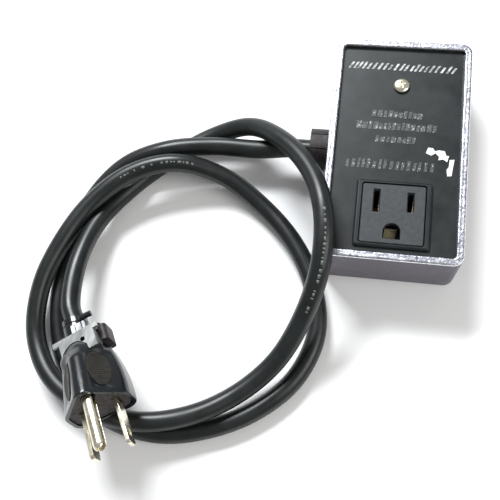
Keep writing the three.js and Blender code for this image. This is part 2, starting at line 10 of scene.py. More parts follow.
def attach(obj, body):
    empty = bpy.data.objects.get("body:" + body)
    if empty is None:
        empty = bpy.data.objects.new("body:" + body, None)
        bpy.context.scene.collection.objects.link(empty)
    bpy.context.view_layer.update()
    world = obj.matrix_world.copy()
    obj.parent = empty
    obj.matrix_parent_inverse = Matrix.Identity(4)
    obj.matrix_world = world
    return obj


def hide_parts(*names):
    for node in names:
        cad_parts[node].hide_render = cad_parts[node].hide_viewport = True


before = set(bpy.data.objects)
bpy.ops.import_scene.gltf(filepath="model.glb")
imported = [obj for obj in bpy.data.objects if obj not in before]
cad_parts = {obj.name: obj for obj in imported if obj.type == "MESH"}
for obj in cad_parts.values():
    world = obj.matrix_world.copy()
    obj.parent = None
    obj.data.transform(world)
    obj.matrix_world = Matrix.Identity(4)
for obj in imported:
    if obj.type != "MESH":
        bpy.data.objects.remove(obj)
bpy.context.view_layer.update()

MM = 0.001
scene = bpy.context.scene


def mm(x, y, z):
    return Vector((x * MM, y * MM, z * MM))


# ---------------------------------------------------------------- camera
def add_object(name, data):
    ob = bpy.data.objects.new(name, data)
    scene.collection.objects.link(ob)
    return ob


def add_camera():
    """The photo's camera, as fitted to the corners of the can."""
    data = bpy.data.cameras.new("camera")
    data.lens = 52.58
    data.sensor_width = 36
    cam = add_object("camera", data)
    position = mm(-13.832, -126.105, 286.049)
    right = Vector((0.98665, 0.12446, -0.10503))
    up = Vector((-0.08743, 0.94892, 0.30315))
    back = Vector((0.13739, -0.28992, 0.94714))
    turn = Matrix((right, up, back)).transposed().to_4x4()
    cam.matrix_world = Matrix.Translation(position) @ turn
    scene.camera = cam


add_camera()


# ---------------------------------------------------------------- mesh helpers
def obj_from(name, verts, faces):
    me = bpy.data.meshes.new(name)
    me.from_pydata([tuple(v) for v in verts], [], faces)
    me.validate()
    ob = add_object(name, me)
    shade(ob)
    return ob


def shade(ob, sharp=40):
    """Smooth shading, with edges sharper than the angle left crisp."""
    me = ob.data
    for p in me.polygons:
        p.use_smooth = True
    me.set_sharp_from_angle(angle=math.radians(sharp))


def from_bmesh(name, bm):
    bmesh.ops.recalc_face_normals(bm, faces=bm.faces)
    me = bpy.data.meshes.new(name)
    bm.to_mesh(me)
    bm.free()
    ob = add_object(name, me)
    shade(ob)
    return ob


def loft(name, rings):
    """Skin over equal rings, with both ends capped."""
    n = len(rings[0])
    verts = [v for ring in rings for v in ring]
    count = len(rings)
    faces = []
    for k in range(count - 1):
        a, b = k * n, (k + 1) * n
        faces += [(a + i, a + (i + 1) % n, b + (i + 1) % n, b + i) for i in range(n)]
    faces.append(tuple(reversed(range(n))))
    faces.append(tuple(range((count - 1) * n, count * n)))
    ob = obj_from(name, verts, faces)
    bm = bmesh.new()
    bm.from_mesh(ob.data)
    bmesh.ops.recalc_face_normals(bm, faces=bm.faces)
    bm.to_mesh(ob.data)
    bm.free()
    return ob


def cut(ob, tool):
    """Takes the tool's shape out of the piece and drops the tool."""
    mod = ob.modifiers.new("cut", "BOOLEAN")
    mod.object = tool
    mod.solver = "EXACT"
    apply_mods(ob)
    bpy.data.objects.remove(tool)


def apply_mods(ob):
    """Turns the piece's modifiers into plain mesh."""
    deps = bpy.context.evaluated_depsgraph_get()
    deps.update()
    me = bpy.data.meshes.new_from_object(ob.evaluated_get(deps))
    ob.modifiers.clear()
    ob.data = me


def thicken(ob, thickness):
    """Gives an open sheet its thickness, inwards from its face."""
    mod = ob.modifiers.new("thickness", "SOLIDIFY")
    mod.thickness = thickness * MM
    apply_mods(ob)


def add_prism(bm, outline, bottom, top):
    """Adds an upright prism over a flat outline."""
    low = [bm.verts.new(mm(x, y, bottom)) for x, y in outline]
    high = [bm.verts.new(mm(x, y, top)) for x, y in outline]
    bm.faces.new(reversed(low))
    bm.faces.new(high)
    for i in range(len(outline)):
        j = (i + 1) % len(outline)
        bm.faces.new((low[i], low[j], high[j], high[i]))


def bevel_edges(ob, width, segments=2, angle=40, sharp=40):
    """Rounds every edge sharper than the angle, so that it catches the light."""
    bm = bmesh.new()
    bm.from_mesh(ob.data)
    bmesh.ops.remove_doubles(bm, verts=bm.verts, dist=2e-6)
    bmesh.ops.dissolve_limit(bm, angle_limit=math.radians(0.5), verts=bm.verts, edges=bm.edges)
    edges = [e for e in bm.edges if e.is_manifold and e.calc_face_angle(0) > math.radians(angle)]
    bmesh.ops.bevel(bm, geom=edges, offset=width * MM, segments=segments, profile=0.5,
                    affect="EDGES", clamp_overlap=True)
    bm.to_mesh(ob.data)
    bm.free()
    shade(ob, sharp)
    flat = ob.modifiers.new("flat faces", "WEIGHTED_NORMAL")
    flat.keep_sharp = True
    apply_mods(ob)


def remake(node, width=0.15, segments=2, angle=40, sharp=40):
    """A copy of a CAD node with rounded edges, which stands for that node."""
    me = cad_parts[node].data.copy()
    me.materials.clear()
    ob = add_object(node + "_piece", me)
    bevel_edges(ob, width, segments, angle, sharp)
    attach(ob, "root")
    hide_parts(node)
    return ob


def take_over(ob, *nodes):
    """Puts the piece on the one body, in place of the CAD nodes it stands for."""
    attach(ob, "root")
    if nodes:
        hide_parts(*nodes)


# ---------------------------------------------------------------- materials
def ramp(nt, source, stops):
    node = nt.nodes.new("ShaderNodeValToRGB")
    cr = node.color_ramp
    while len(cr.elements) < len(stops):
        cr.elements.new(0.5)
    for el, (pos, col) in zip(cr.elements, stops):
        el.position = pos
        value = col if isinstance(col, (tuple, list)) else (col, col, col)
        el.color = (*value, 1)
    nt.links.new(source, node.inputs[0])
    return node.outputs[0]


def noise_tex(nt, coords, scale, detail, rough=0.6):
    node = nt.nodes.new("ShaderNodeTexNoise")
    node.inputs["Scale"].default_value = scale
    node.inputs["Detail"].default_value = detail
    node.inputs["Roughness"].default_value = rough
    nt.links.new(coords, node.inputs["Vector"])
    return node.outputs["Fac"]


def stretched(nt, coords, factors):
    node = nt.nodes.new("ShaderNodeMapping")
    node.inputs["Scale"].default_value = factors
    nt.links.new(coords, node.inputs["Vector"])
    return node.outputs["Vector"]


def mix(nt, fac, a, b):
    node = nt.nodes.new("ShaderNodeMix")
    node.data_type = "RGBA"
    nt.links.new(fac, node.inputs["Factor"])
    for socket, value in ((node.inputs["A"], a), (node.inputs["B"], b)):
        if isinstance(value, tuple):
            socket.default_value = (*value, 1)
        else:
            nt.links.new(value, socket)
    return node.outputs["Result"]


def material(name, low, high, rough=(0.4, 0.5), metal=0.0, scale=400, bump=0.1, bump_scale=1500,
             coat=0.0, spots=None, stretch=None, depth=0.00005, specular=0.5):
    """Procedural finish: two-tone grain, roughness that varies, fine bump, and optional pale specks."""
    mat = bpy.data.materials.new(name)
    mat.use_nodes = True
    nt = mat.node_tree
    shader = nt.nodes["Principled BSDF"]
    shader.inputs["Metallic"].default_value = metal
    shader.inputs["Specular IOR Level"].default_value = specular
    shader.inputs["Coat Weight"].default_value = coat
    shader.inputs["Coat Roughness"].default_value = 0.08
    coords = nt.nodes.new("ShaderNodeTexCoord").outputs["Object"]
    if stretch:
        coords = stretched(nt, coords, stretch)
    grain = noise_tex(nt, coords, scale, 5)
    colour = ramp(nt, grain, [(0.35, low), (0.65, high)])
    if spots:
        tint, spot_scale, threshold = spots
        speck = noise_tex(nt, coords, spot_scale, 3, 0.7)
        colour = mix(nt, ramp(nt, speck, [(threshold, 0.0), (threshold + 0.03, 1.0)]), colour, tint)
    nt.links.new(colour, shader.inputs["Base Color"])
    patch = noise_tex(nt, coords, scale * 0.4, 4)
    nt.links.new(ramp(nt, patch, [(0.3, rough[0]), (0.7, rough[1])]), shader.inputs["Roughness"])
    fine = noise_tex(nt, coords, bump_scale, 4)
    node = nt.nodes.new("ShaderNodeBump")
    node.inputs["Strength"].default_value = bump
    node.inputs["Distance"].default_value = depth
    nt.links.new(fine, node.inputs["Height"])
    nt.links.new(node.outputs["Normal"], shader.inputs["Normal"])
    return mat


def paint(ob, mat):
    ob.data.materials.clear()
    ob.data.materials.append(mat)


RIM = material("can_rim", (0.22, 0.22, 0.26), (0.60, 0.61, 0.66), (0.26, 0.48), 1.0, 900, 0.7, 1100,
               depth=0.00022)
# Painted highlight: a brighter, smoother copy of the rim aluminium. It is put as bright lines on the rolled
# rim's steep edges, and as painted light on the mouth's inner wall, which lies in shade.
RIM_PAINTED_HIGHLIGHT = material("can_rim_painted_highlight", (0.62, 0.63, 0.66), (0.93, 0.94, 0.96), (0.15, 0.3), 1.0, 700, 0.5, 900,
                    depth=0.00015)
# Painted shade: the can's aluminium walls are coloured a dark purple-grey, the tone of its side in shadow,
# much darker than the rim of the same sheet.
WALL_PAINTED_SHADE = material("can_wall_painted_shade", (0.125, 0.118, 0.142), (0.185, 0.175, 0.205), (0.38, 0.5), 0.85, 1600, 0.2, 2600)
PLATE = material("plate_black", (0.006, 0.008, 0.009), (0.013, 0.016, 0.017), (0.34, 0.5), 0.0, 160, 0.12,
                 1400, spots=((0.07, 0.08, 0.08), 900, 0.72), specular=0.35)
OUTLET = material("outlet_grey", (0.026, 0.030, 0.034), (0.040, 0.045, 0.050), (0.5, 0.62), 0.0, 700, 0.25,
                  4000, specular=0.4)
NICKEL = material("nickel", (0.66, 0.60, 0.44), (0.94, 0.90, 0.76), (0.18, 0.34), 1.0, 260, 0.25, 2200)
BRASS = material("brass", (0.55, 0.40, 0.15), (0.80, 0.62, 0.28), (0.25, 0.4), 1.0, 500, 0.15, 2500)
STEEL = material("steel", (0.26, 0.27, 0.28), (0.50, 0.51, 0.50), (0.32, 0.5), 1.0, 300, 0.3, 900,
                 stretch=(1.0, 0.3, 1.0))
JACKET = material("cord_jacket", (0.005, 0.0065, 0.0065), (0.012, 0.0145, 0.0145), (0.3, 0.44), 0.0, 120, 0.2,
                  1800, spots=((0.06, 0.07, 0.07), 500, 0.74), specular=0.4)
GLOSS = material("plug_black", (0.004, 0.0055, 0.007), (0.008, 0.010, 0.012), (0.16, 0.26), 0.0, 150, 0.06,
                 900, coat=0.15)
GRIP = material("plug_grip", (0.010, 0.009, 0.007), (0.022, 0.020, 0.016), (0.45, 0.6), 0.0, 800, 0.3, 3000,
                specular=0.35)
FIBRE = material("fibre_brown", (0.010, 0.008, 0.008), (0.045, 0.034, 0.028), (0.5, 0.8), 0.0, 1400, 0.8,
                 2500, depth=0.0002)
FIBRE_SMOOTH = material("fibre_moulded", (0.012, 0.009, 0.010), (0.030, 0.022, 0.024), (0.45, 0.6), 0.0, 600,
                        0.3, 1500, specular=0.35)
BOARD = material("board_phenolic", (0.30, 0.18, 0.08), (0.42, 0.28, 0.13), (0.55, 0.7), 0.0, 500, 0.2, 2000)
FERRITE = material("ferrite", (0.03, 0.03, 0.034), (0.06, 0.06, 0.065), (0.6, 0.8), 0.0, 1200, 0.4, 3000)
COPPER = material("copper", (0.48, 0.17, 0.07), (0.72, 0.32, 0.15), (0.2, 0.35), 1.0, 600, 0.1, 2000)
YELLOW = material("capacitor_yellow", (0.55, 0.36, 0.03), (0.66, 0.46, 0.06), (0.3, 0.45), 0.0, 300, 0.1,
                  1500)
BLUE = material("capacitor_blue", (0.04, 0.13, 0.30), (0.07, 0.20, 0.40), (0.25, 0.4), 0.0, 500, 0.3, 900)
GREEN = material("varistor_green", (0.03, 0.18, 0.08), (0.05, 0.27, 0.12), (0.25, 0.4), 0.0, 500, 0.3, 900)
TAN = material("resistor_tan", (0.40, 0.27, 0.13), (0.52, 0.38, 0.20), (0.4, 0.55), 0.0, 600, 0.1, 1500)
CORE_BLACK = material("core_black", (0.012, 0.012, 0.012), (0.022, 0.022, 0.022), (0.4, 0.5), 0.0, 500, 0.1,
                      1500)
CORE_WHITE = material("core_white", (0.72, 0.72, 0.68), (0.82, 0.82, 0.79), (0.4, 0.5), 0.0, 500, 0.1, 1500)
CORE_GREEN = material("core_green", (0.02, 0.20, 0.05), (0.04, 0.30, 0.09), (0.4, 0.5), 0.0, 500, 0.1, 1500)
WORN = material("worn_white", (0.07, 0.075, 0.075), (0.62, 0.64, 0.63), (0.5, 0.7), 0.0, 650, 0.3, 3000)
FAINT = material("faint_print", (0.016, 0.019, 0.019), (0.07, 0.077, 0.077), (0.4, 0.6), 0.0, 900, 0.3, 3000,
                 spots=((0.42, 0.44, 0.43), 1300, 0.60))
PRINT = material("cord_print", (0.05, 0.058, 0.058), (0.20, 0.215, 0.21), (0.5, 0.7), 0.0, 2500, 0.2, 3000)
CHIP = material("paper_scrap", (0.62, 0.66, 0.62), (0.84, 0.86, 0.82), (0.6, 0.8), 0.0, 1800, 0.5, 3000)

# ---------------------------------------------------------------- plug axes: b across, u up, a ahead
AXIS_U = 5.2
CORD_R = 3.85
PLUG_AXES = (Matrix.Translation(mm(-97.5, -110.9, 25.0))
             @ Matrix.Rotation(math.radians(-60.3), 4, "Z")
             @ Matrix.Rotation(math.radians(-14.4), 4, "Y")
             @ Matrix(((0, 0, 1, 0), (1, 0, 0, 0), (0, 1, 0, 0), (0, 0, 0, 1)))
             @ Matrix.Rotation(math.radians(2.7), 4, "Z"))


def plug_point(b, u, a):
    return PLUG_AXES @ mm(b, u, a)


# ---------------------------------------------------------------- free cord
CORD_ROUTE = [
    (-33.9, 2.3, 14), (-42, 2.2, 13.7), (-55, 1.5, 12), (-75, 1.5, 12), (-94.5, -2, 12.5), (-112, -9, 8.5),
    (-124.5, -23.5, 4.5), (-129.5, -42.5, 4), (-131, -62.5, 4), (-127.5, -82.5, 4), (-118, -99.5, 4),
    (-102, -112, 4), (-82.5, -116, 4), (-63, -112.5, 4), (-45, -103.5, 4), (-31, -89.5, 4), (-24.5, -71, 4),
    (-28, -52, 4), (-37.5, -35, 4), (-52, -20.5, 4.5), (-69, -10.5, 9), (-88, -8.5, 15),
    (-106, -14.5, 15.5), (-120.5, -27.5, 14), (-130.5, -45, 12.5), (-136.5, -64, 10.5),
    (-135.5, -83.5, 8.5), (-125, -100, 10.5), (-107.5, -110, 11.7), (-87.5, -113, 11.7),
    (-68.5, -108.5, 10.5), (-52, -98.5, 9), (-38, -84.5, 12), (-29, -67.5, 21), (-24.5, -50, 31),
    (-25.5, -31, 33.5), (-32.5, -13, 29), (-45, 1.5, 22.5), (-60, 10.5, 14), (-77.5, 8, 6.5),
    (-95, -3.5, 4), (-109, -17.5, 4.5), (-118.5, -35, 9.5), (-121.3, -54.5, 15.5),
]


def catmull(points, step):
    """Centripetal Catmull-Rom curve through the points, sampled about every step."""
    ends = [2 * points[0] - points[1]] + points + [2 * points[-1] - points[-2]]
    out = []
    for p0, p1, p2, p3 in zip(ends, ends[1:], ends[2:], ends[3:]):
        t1 = (p1 - p0).length ** 0.5
        t2 = t1 + (p2 - p1).length ** 0.5
        t3 = t2 + (p3 - p2).length ** 0.5
        count = max(2, round((p2 - p1).length / step))
        for i in range(count):
            t = t1 + (t2 - t1) * i / count
            a1 = p0 * ((t1 - t) / t1) + p1 * (t / t1)
            a2 = p1 * ((t2 - t) / (t2 - t1)) + p2 * ((t - t1) / (t2 - t1))
            a3 = p2 * ((t3 - t) / (t3 - t2)) + p3 * ((t - t2) / (t3 - t2))
            b1 = a1 * ((t2 - t) / t2) + a2 * (t / t2)
            b2 = a2 * ((t3 - t) / (t3 - t1)) + a3 * ((t - t1) / (t3 - t1))
            out.append(b1 * ((t2 - t) / (t2 - t1)) + b2 * ((t - t1) / (t2 - t1)))
    out.append(points[-1])
    return out


def frames_along(path):
    """Distance, tangent, side and up at each point, turned as little as possible."""
    out = []
    side = None
    s = 0.0
    for i, p in enumerate(path):
        tangent = (path[min(i + 1, len(path) - 1)] - path[max(i - 1, 0)]).normalized()
        side = tangent.cross(Vector((0, 0, 1))) if side is None else side - tangent * side.dot(tangent)
        side.normalize()
        if i:
            s += (p - path[i - 1]).length
        out.append((s, tangent, side.copy(), tangent.cross(side)))
    return out


TUBE_SIDES = 24
TWIST_DEPTH, TWIST_PITCH = 0.012, 55


def tube(name, path, radius):
    """Round jacket; its three cores show as a faint long twist under the skin."""
    rings = []
    for p, (s, _, side, up) in zip(path, frames_along(path)):
        ring = []
        for i in range(TUBE_SIDES):
            t = 2 * math.pi * i / TUBE_SIDES
            wave = math.cos(3 * t + s / MM * 2 * math.pi / TWIST_PITCH)
            r = radius * (1 - TWIST_DEPTH + TWIST_DEPTH * wave)
            ring.append(p + side * (r * math.cos(t)) + up * (r * math.sin(t)))
        rings.append(ring)
    return loft(name, rings)


CORD_ENTRY, CORD_END, CORD_STEP = -43.8, -35.9, 1.5
cord_path = catmull([mm(*p) for p in CORD_ROUTE]
                    + [plug_point(0, AXIS_U, CORD_ENTRY), plug_point(0, AXIS_U, CORD_END)], CORD_STEP * MM)
cord_frames = frames_along(cord_path)
cord = tube("power_cord_piece", cord_path, CORD_R * MM)
paint(cord, JACKET)
take_over(cord, "power_cord")


DASH_LENGTH, DASH_HALF, DASH_GAP, DASH_KEPT = (0.5, 1.5), (0.3, 0.55), (0.4, 1.4), 0.8
PRINT_LIFT, PRINT_THICK = 1.006, 0.03


def print_marks(name, stretches, seed):
    """Worn dashes on the side of the jacket that faces the camera; a stretch is start, end and offset."""
    rnd = random.Random(seed)
    eye = scene.camera.matrix_world.translation
    verts, faces = [], []

    def at(s, across):
        k = min(range(len(cord_frames)), key=lambda i: abs(cord_frames[i][0] - s))
        _, tangent, side, up = cord_frames[k]
        p = cord_path[k] + tangent * (s - cord_frames[k][0])
        facing = eye - p
        facing -= tangent * facing.dot(tangent)
        facing.normalize()
        sideways = tangent.cross(facing)
        angle = across / (CORD_R * MM)
        return p + (facing * math.cos(angle) + sideways * math.sin(angle)) * (CORD_R * PRINT_LIFT * MM)

    for start, end, offset in stretches:
        s = start
        while s < end:
            dash = rnd.uniform(*DASH_LENGTH)
            half = rnd.uniform(*DASH_HALF)
            if rnd.random() < DASH_KEPT:
                n = len(verts)
                verts += [at(s * MM, (offset - half) * MM), at((s + dash) * MM, (offset - half) * MM),
                          at((s + dash) * MM, (offset + half) * MM), at(s * MM, (offset + half) * MM)]
                faces.append((n, n + 1, n + 2, n + 3))
            s += dash + rnd.uniform(*DASH_GAP)
    ob = obj_from(name, verts, faces)
    thicken(ob, PRINT_THICK)
    paint(ob, PRINT)
    take_over(ob)
    return ob


# ---------------------------------------------------------------- can
CAN_X, CAN_Y, CORNER = 26.75, 46.25, 4.2
LEAST_CORNER, ARC_STEPS, SIDE_STEPS = 0.5, 10, 36
CORD_HOLE = mm(-CAN_X, 2.3, 14)
CORD_HOLE_R = 6.4


def can_ring(inset, z, wave=0.0):
    """Rounded rectangle; wave makes the rolled edge run slightly uneven, as hand-finished sheet does."""
    r = max(CORNER - inset, LEAST_CORNER)
    hx, hy = CAN_X - inset, CAN_Y - inset
    ring = []
    corners = [(1, -1, -90), (1, 1, 0), (-1, 1, 90), (-1, -1, 180)]
    for k, (sx, sy, start) in enumerate(corners):
        cx, cy = sx * (hx - r), sy * (hy - r)
        for i in range(ARC_STEPS + 1):
            t = math.radians(start + 90 * i / ARC_STEPS)
            ring.append((cx + r * math.cos(t), cy + r * math.sin(t)))
        nx, ny, _ = corners[(k + 1) % 4]
        t = math.radians(start + 90)
        x0, y0 = cx + r * math.cos(t), cy + r * math.sin(t)
        x1, y1 = nx * (hx - r) + r * math.cos(t), ny * (hy - r) + r * math.sin(t)
        ring += [(x0 + (x1 - x0) * i / SIDE_STEPS, y0 + (y1 - y0) * i / SIDE_STEPS)
                 for i in range(1, SIDE_STEPS)]
    out = []
    for x, y in ring:
        n = wave * noise.noise(Vector((x * 0.35, y * 0.35, z)))
        d = wave * noise.noise(Vector((x * 0.9 + 7, y * 0.9, z * 2)))
        length = math.hypot(x, y)
        out.append(mm(x - x / length * abs(n) * 0.5, y - y / length * abs(n) * 0.5, z - abs(d)))
    return out


# The can's section as inset from its outline, height and wave: up outside, over the rolled edge, down inside.
CAN_OUTSIDE = [(3.5, 0), (1.0, 0), (0.55, 0.08), (0.2, 0.35), (0.03, 0.75), (0, 1.2), (0, 8), (0, 16),
               (0, 25.6), (0.02, 26.3), (0.1, 26.85), (0.3, 27.25), (0.6, 27.45)]
CAN_ROLL = [(0.95, 27.5, 0.06), (1.4, 27.46, 0.22), (1.85, 27.45, 0.22), (2.3, 27.48, 0.2),
            (2.6, 27.44, 0.14), (2.82, 27.28, 0.06)]
CAN_INSIDE = [(2.95, 27.0), (3.0, 26.5), (3.0, 25.95), (1.15, 25.9), (1.1, 25.5), (1.1, 1.2), (1.4, 1.1)]
MOUTH_FLOOR, HIGHLIGHT_FROM, ROLL_FROM = 25.8, 27.0, 27.05


def make_can():
    rings = [can_ring(*row) for row in CAN_OUTSIDE + CAN_ROLL + CAN_INSIDE]
    body = loft("housing_can_piece", rings)
    bpy.ops.mesh.primitive_cylinder_add(vertices=48, radius=CORD_HOLE_R * MM, depth=8 * MM,
                                        location=CORD_HOLE, rotation=(0, math.pi / 2, 0))
    cut(body, bpy.context.object)
    shade(body, 35)
    # Painted shade: the walls get the darker tone of the can's shaded side.
    paint(body, WALL_PAINTED_SHADE)
    body.data.materials.append(RIM)
    body.data.materials.append(RIM_PAINTED_HIGHLIGHT)
    # Faces take their colour by place. The mouth's inner wall and the steep faces at the top of the rim get
    # the painted-highlight copy of the aluminium.
    for p in body.data.polygons:
        c = p.center / MM
        upright = abs(p.normal.z) < 0.5
        painted_light_inner_wall = c.z > MOUTH_FLOOR and upright and abs(c.x) < CAN_X - 2 and abs(c.y) < CAN_Y - 2
        if painted_light_inner_wall or (c.z > HIGHLIGHT_FROM and abs(p.normal.z) < 0.8):
            p.material_index = 2
        elif c.z > ROLL_FROM:
            p.material_index = 1
        else:
            p.material_index = 0
    take_over(body, "housing_can")


make_can()
paint(remake("front_plate", 0.1), PLATE)
PLATE_TOP = 25.6


def marks(name, rows, mat, height, slant, seed):
    """Rows of raised bars in place of printing, which stand for no letters."""
    rnd = random.Random(seed)
    bm = bmesh.new()
    for x0, y0, length, tall, small, large, tilt, gap in rows:
        x = x0
        while x < x0 + length:
            w = rnd.uniform(small, large)
            y = y0 + (x - x0) * tilt
            top = tall * rnd.uniform(0.75, 1.0)
            corners = [(x, y), (x + w, y), (x + w + slant * top, y + top), (x + slant * top, y + top)]
            add_prism(bm, corners, PLATE_TOP, PLATE_TOP + height)
            x += w + gap * rnd.uniform(0.6, 1.3)
    ob = from_bmesh(name, bm)
    paint(ob, mat)
    take_over(ob)


# Each row: x, y, length, bar height, smallest and largest bar, tilt, gap.
EMBLEM = [(-21.5, 33.8, 41.5, 3.2, 0.9, 0.9, -0.01, 1.1)]
LEGEND = [(-10.8, 12.6, 18.5, 3.2, 1.1, 1.9, 0, 0.5), (-16.4, 7.2, 29.5, 3.4, 1.1, 1.9, 0, 0.5),
          (-8.6, 1.8, 14.5, 3.0, 1.1, 1.9, 0, 0.5), (-19.2, -9.4, 33.5, 4.0, 0.9, 1.3, 0, 1.1)]
marks("plate_emblem_bars", EMBLEM, WORN, 0.12, 0.55, 3)
marks("plate_legend_bars", LEGEND, FAINT, 0.1, 0.12, 5)


SCRAP_SHIFT = (0.3, 0.8)
SCRAP_GAP, SCRAP_THICK = 0.01, 0.12


def scrap(name, outline):
    """Flat torn scrap of paper lying just off the plate."""
    outline = [(x + SCRAP_SHIFT[0], y + SCRAP_SHIFT[1]) for x, y in outline]
    bm = bmesh.new()
    add_prism(bm, outline, PLATE_TOP + SCRAP_GAP, PLATE_TOP + SCRAP_THICK)
    ob = from_bmesh(name, bm)
    paint(ob, CHIP)
    take_over(ob)


scrap("paper_scrap_1", [(10.6, -2.4), (11.4, 0.0), (13.2, -0.2), (14.0, -1.4), (15.4, -0.9), (17.6, -1.1),
                        (18.3, -3.0), (19.3, -3.0), (18.7, -5.6), (17.2, -4.6), (15.4, -5.0), (15.6, -3.6),
                        (14.2, -2.2), (12.6, -3.3)])
scrap("paper_scrap_2", [(19.6, -4.6), (21.4, -4.4), (20.9, -8.0), (20.6, -11.2), (19.0, -11.4), (18.6, -8.8),
                        (19.4, -7.6)])


# ---------------------------------------------------------------- plate screw, outlet
TURNED_SIDES, LEAST_RADIUS = 48, 0.001


def lathe(name, profile, centre, axis=None):
    """Turned shape: radius and height pairs from the axis and back to it."""
    rings = []
    for r, h in profile:
        r = max(r, LEAST_RADIUS)
        angles = [2 * math.pi * i / TURNED_SIDES for i in range(TURNED_SIDES)]
        rings.append([mm(r * math.cos(t), r * math.sin(t), h) for t in angles])
    turn = axis or Matrix.Identity(4)
    return loft(name, [[turn @ (p + centre) for p in ring] for ring in rings])


def cube(x0, x1, y0, y1, z0, z1, axis):
    """Box used as a cutting tool."""
    bm = bmesh.new()
    bmesh.ops.create_cube(bm, size=1)
    size = Matrix.Diagonal(((x1 - x0) * MM, (y1 - y0) * MM, (z1 - z0) * MM, 1))
    shift = Matrix.Translation(mm((x0 + x1) / 2, (y0 + y1) / 2, (z0 + z1) / 2))
    bmesh.ops.transform(bm, matrix=axis @ shift @ size, verts=bm.verts)
    return from_bmesh("tool", bm)


SCREW_PROFILE = [(0, -11.5), (1.4, -11.5), (1.4, 0), (2.95, 0), (3.08, 0.12), (3.1, 0.4), (3.0, 0.7),
                 (2.7, 0.95), (2.1, 1.17), (1.3, 1.28), (0, 1.3)]
RECESS_ARM, RECESS_HALF, RECESS_FLOOR, RECESS_TURN = 1.5, 0.28, 0.55, 20


def make_screw():
    """Pan-head screw with its cross recess."""
    x, y, z = 0, 26.6, 25.9
    head = lathe("plate_screw_piece", SCREW_PROFILE, mm(x, y, z))
    turn = Matrix.Translation(mm(x, y, 0)) @ Matrix.Rotation(math.radians(RECESS_TURN), 4, "Z")
    for across, along in ((RECESS_ARM, RECESS_HALF), (RECESS_HALF, RECESS_ARM)):
        cut(head, cube(-across, across, -along, along, z + RECESS_FLOOR, z + 3, turn))
    shade(head, 35)
    paint(head, NICKEL)
    take_over(head, "plate_screw")


make_screw()
paint(remake("outlet_body", 0.18, 3), PLATE)
paint(remake("outlet_face", 0.12, 2), OUTLET)
paint(remake("outlet_ground_contact", 0.12), NICKEL)
for n in ("outlet_hot_contact", "outlet_neutral_contact"):
    paint(remake(n, 0.12), BRASS)

# ---------------------------------------------------------------- inside the can
INSIDE = [
    (BRASS, "brass", 0.2, ["centre_post"] + [f"board_spacer_{i}" for i in range(1, 5)]),
    (STEEL, "steel", 0.2, [f"board_screw_{i}" for i in range(1, 5)] + ["ground_lug", "ground_screw"]),
    (BOARD, "board_phenolic", 0.15, ["filter_board"]),
    (FERRITE, "ferrite", 0.5, ["choke_core"]),
    (COPPER, "copper", 0.25, ["choke_line_winding", "choke_neutral_winding"]),
    (YELLOW, "capacitor_yellow", 0.6, ["x_capacitor"]),
    (BLUE, "capacitor_blue", 0.3, ["y_capacitor_1", "y_capacitor_2"]),
    (GREEN, "varistor_green", 0.3, ["surge_varistor"]),
    (TAN, "resistor_tan", 0.15, ["bleed_resistor"]),
    (JACKET, "cord_jacket", 0.2, ["cord_inner_end", "plug_cord_end"]),
    (CORE_BLACK, "core_black", 0.1, ["line_lead_in", "line_lead_out", "plug_line_core"]),
    (CORE_WHITE, "core_white", 0.1, ["neutral_lead_in", "neutral_lead_out", "plug_neutral_core"]),
    (CORE_GREEN, "core_green", 0.1, ["ground_lead_in", "plug_ground_core"]),
]
made = {}
for mat, slot, width, names in INSIDE:
    for n in names:
        made[n] = remake(n, width, 2, 50, 50)
        paint(made[n], mat)

# ---------------------------------------------------------------- bushing
for n in ("strain_relief_bushing", "strain_relief_wedge"):
    made[n] = remake(n, 0.35, 3)
    paint(made[n], FIBRE_SMOOTH)

# ---------------------------------------------------------------- plug
# Body section at the front: flat below the blades, two slanted sides meeting over the ground pin.
# Towards the cord the section shrinks and its top turns into a round dome.
SECTION = [(-13.3, -8.7, 4.2), (11.9, -8.7, 4.5), (11.9, 3.5, 6.0), (-0.7, 20.2, 4.0), (-13.3, 3.5, 6.0)]
CENTRE = Vector((-0.7, 4.5))
DRIFT = Vector((0.027, 0.05))
FACE, SHRINK = 0.5, 0.0127
BELLY, BELLY_LENGTH, BELLY_POWER, HALF_WIDTH = 1.6, 24, 0.8, 12.6
# The dome: how far the section is pulled in, then the half-ellipse it turns into and where it does.
DOME_START, BODY_END = -19.0, -26.8
DOME_PULL, DOME_POWER = 0.36, 1.8
DOME_CENTRE = Vector((0.4, 5.6))
DOME_WIDTH, DOME_NARROWING, DOME_LEAST = 9.9, 0.9, 5.2
DOME_HEIGHT, DOME_CROWN, DOME_LENGTH = 8.5, -16, 11.2
TURN_START, TURN_LENGTH, TURN_EDGE = -15.5, 5, 0.35
VALLEY = 0.6
ARC_POINTS, SLANT_POINTS = 9, 14


def section_corners():
    """Each corner's arc: centre, radius, start angle and sweep."""
    arcs = []
    for i, (b, u, r) in enumerate(SECTION):
        corner = Vector((b, u))
        before = (Vector(SECTION[i - 1][:2]) - corner).normalized()
        after = (Vector(SECTION[(i + 1) % 5][:2]) - corner).normalized()
        half = math.acos(before.dot(after)) / 2
        centre = corner + (before + after).normalized() * (r / math.sin(half))
        start = corner + before * (r / math.tan(half)) - centre
        arcs.append((centre, r, math.atan2(start.y, start.x), math.pi - 2 * half))
    return arcs


CORNERS = section_corners()


def clamp01(t):
    return min(1.0, max(0.0, t))


